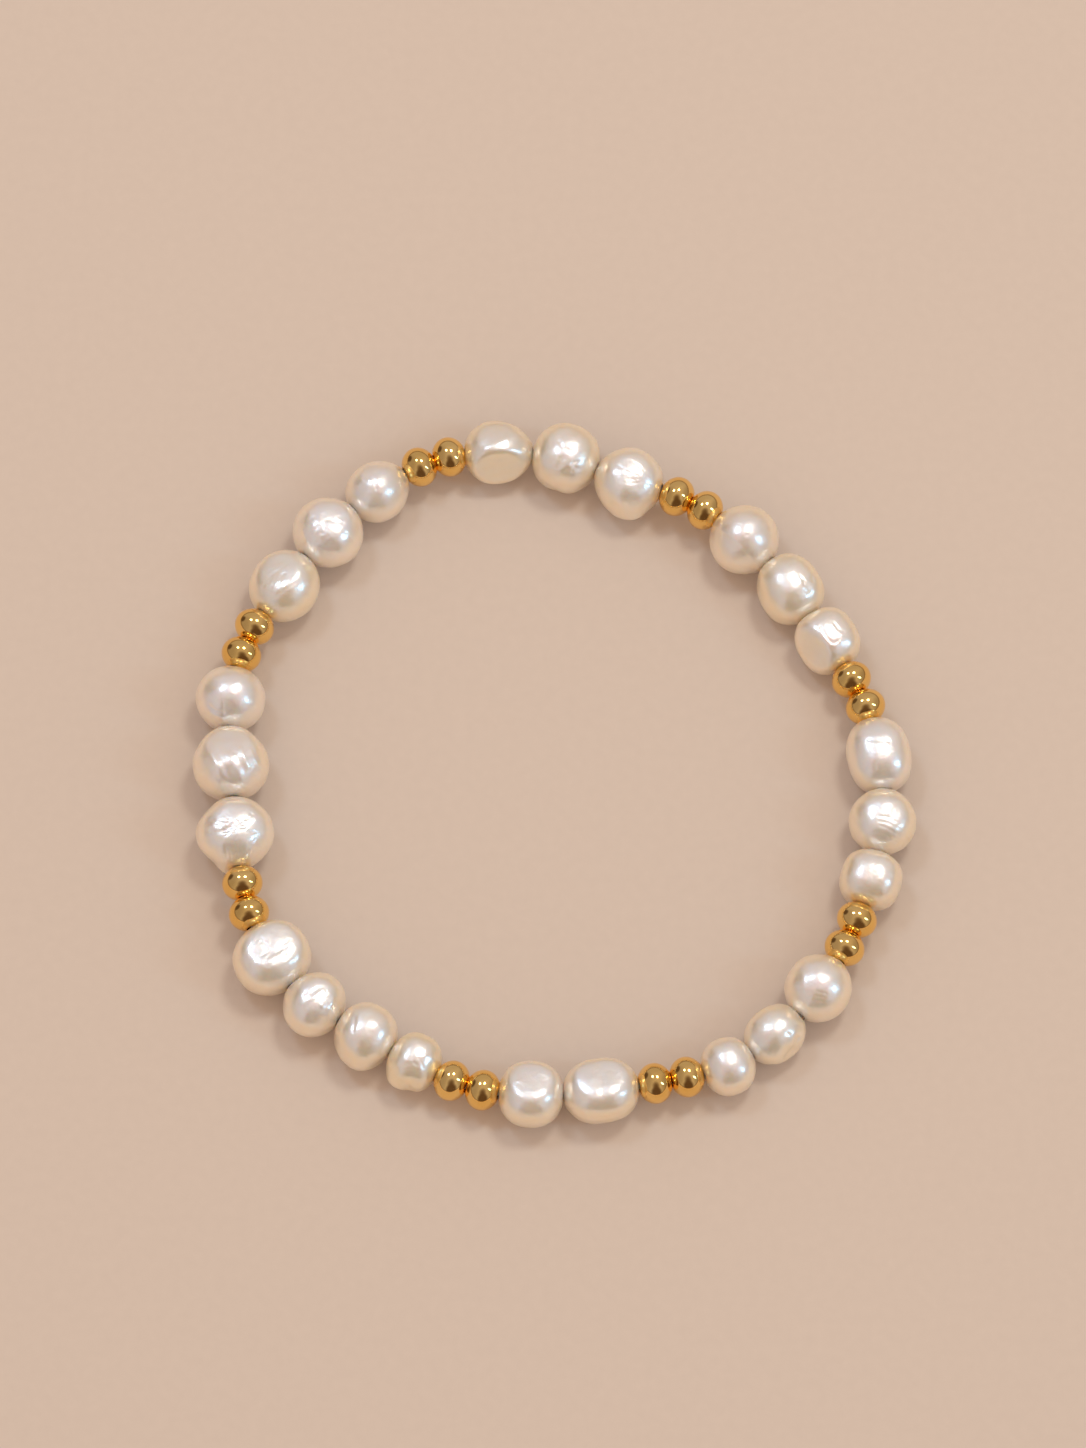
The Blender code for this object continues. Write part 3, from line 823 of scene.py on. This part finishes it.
# The table, the lights and the camera
# A plain pale table, two small lamps high behind the bracelet, cool on the left and warm on
# the right, and a tall cool window on the right. A dim room makes the mirrored disc in each
# bead: it has lighter and darker walls, three dark patches and a bright, warm lower part.

FLOOR_HALF = 3.0
FLOOR_COLOUR = (0.58, 0.515, 0.46, 1.0)

table_top, shade = new_finish("table_top")
weave = shade.grain(900.0, 2.0)
output(shade, shade.node("ShaderNodeBsdfPrincipled", {}, {
    "Base Color": (weave * 0.08).blend(FLOOR_COLOUR, (1.0, 0.9, 0.8, 1.0)),
    "Roughness": 0.65,
}))
corners = [(-FLOOR_HALF, -FLOOR_HALF, 0), (FLOOR_HALF, -FLOOR_HALF, 0),
           (FLOOR_HALF, FLOOR_HALF, 0), (-FLOOR_HALF, FLOOR_HALF, 0)]
floor_mesh = bpy.data.meshes.new("table")
floor_mesh.from_pydata(corners, [], [(0, 1, 2, 3)])
floor_mesh.materials.append(table_top)
table = bpy.data.objects.new("table", floor_mesh)
bpy.context.scene.collection.objects.link(table)


def add_light(name, toward, distance, size, colour, power):
    """A soft light that shines at the bracelet from a direction. size is (across, up)."""
    light = bpy.data.lights.new(name, "AREA")
    light.shape = "ELLIPSE"
    light.size, light.size_y = size
    light.color = colour
    light.energy = power
    lamp = bpy.data.objects.new(name, light)
    bpy.context.scene.collection.objects.link(lamp)
    way = np.array(toward) / np.linalg.norm(toward)
    lamp.location = distance * way
    lamp.rotation_euler = (math.acos(way[2]), 0.0, math.atan2(way[0], -way[1]))
    lamp.visible_camera = False


add_light("left_lamp", (-0.32, 0.32, 0.89), 0.9, (0.20, 0.20), (0.66, 0.83, 1.0), 0.9)
add_light("right_lamp", (0.25, 0.32, 0.92), 0.9, (0.20, 0.20), (1.0, 0.93, 0.82), 1.6)
add_light("window", (0.77, -0.19, 0.59), 1.2, (0.18, 0.50), (0.40, 0.75, 1.0), 1.5)

world = bpy.data.worlds.new("dim_room")
world.use_nodes = True
world.node_tree.nodes.clear()
bpy.context.scene.world = world
shade = Shade(world.node_tree)
toward = shade.node("ShaderNodeTexCoord", {}, {}, "Generated")
front = toward.share_of((0.0, -1.0, 0.0))
rise = toward.share_of((0.0, 0.0, 1.0))

# The upper part, as mirrors see it. Each wall or patch lies towards its direction, and fades
# in between two shares of it.
Wall = namedtuple("Wall", "way start full colour")
WALLS = (
    Wall((-0.976, 0.098, 0.195), 0.20, 0.95, (0.36, 0.32, 0.35, 1.0)),
    Wall((1.0, 0.0, 0.0), 0.50, 1.00, (0.34, 0.30, 0.31, 1.0)),
    Wall((0.0, 1.0, 0.0), 0.50, 0.90, (0.46, 0.42, 0.46, 1.0)),
    Wall((-0.85, 0.45, 0.27), 0.94, 0.985, (0.10, 0.07, 0.06, 1.0)),
    Wall((0.05, -0.55, 0.83), 0.84, 1.02, (0.11, 0.07, 0.055, 1.0)),
    Wall((0.08, -0.93, 0.36), 0.76, 0.93, (0.11, 0.07, 0.055, 1.0)),
)
room = (0.54, 0.49, 0.53, 1.0)
for wall in WALLS:
    room = toward.share_of(wall.way).between(wall.start, wall.full).blend(room, wall.colour)

# The lower part is a warm glow, brightest in front, with a dark line over it all round.
glow = front.between(-0.6, 0.8).blend((0.38, 0.26, 0.18, 1.0), (0.92, 0.64, 0.45, 1.0))
line = (rise.between(0.02, 0.09) - rise.between(0.09, 0.22)) * 0.7
room = rise.between(0.00, 0.10).blend(glow, line.blend(room, (0.12, 0.08, 0.06, 1.0)))

# Matt surfaces get a soft fill from all round, and the camera sees a plain pale backdrop.
mirrored_ray = shade.node("ShaderNodeLightPath", {}, {}, "Is Glossy Ray")
seen = shade.node("ShaderNodeLightPath", {}, {}, "Is Camera Ray")
fill = front.between(-1.0, 1.0).blend((0.68, 0.50, 0.385, 1.0), (1.00, 0.75, 0.58, 1.0))
colour = mirrored_ray.blend(fill, room)
colour = seen.blend(colour, (0.80, 0.72, 0.66, 1.0))
background = shade.node("ShaderNodeBackground", {}, {"Color": colour, "Strength": 1.0})
shade.node("ShaderNodeOutputWorld", {}, {"Surface": background})

# The camera looks down at the loop from the front, through a long lens. AIM is the point
# that it looks at, and the lens is set for the loop's width in the photograph.
AIM = (-0.0011, 0.00474, 0.0032)
CAMERA_DISTANCE = 0.75
SENSOR_HEIGHT = 36.0
LENS = 185.6
view = bpy.data.cameras.new("view")
view.sensor_fit = "VERTICAL"
view.sensor_height = SENSOR_HEIGHT
view.lens = LENS
camera = bpy.data.objects.new("view", view)
bpy.context.scene.collection.objects.link(camera)
camera.location = (
    AIM[0],
    AIM[1] - CAMERA_DISTANCE * math.sin(VIEW_TILT),
    AIM[2] + CAMERA_DISTANCE * math.cos(VIEW_TILT),
)
camera.rotation_euler = (VIEW_TILT, 0.0, 0.0)
bpy.context.scene.camera = camera
bpy.context.scene.view_settings.view_transform = "Standard"
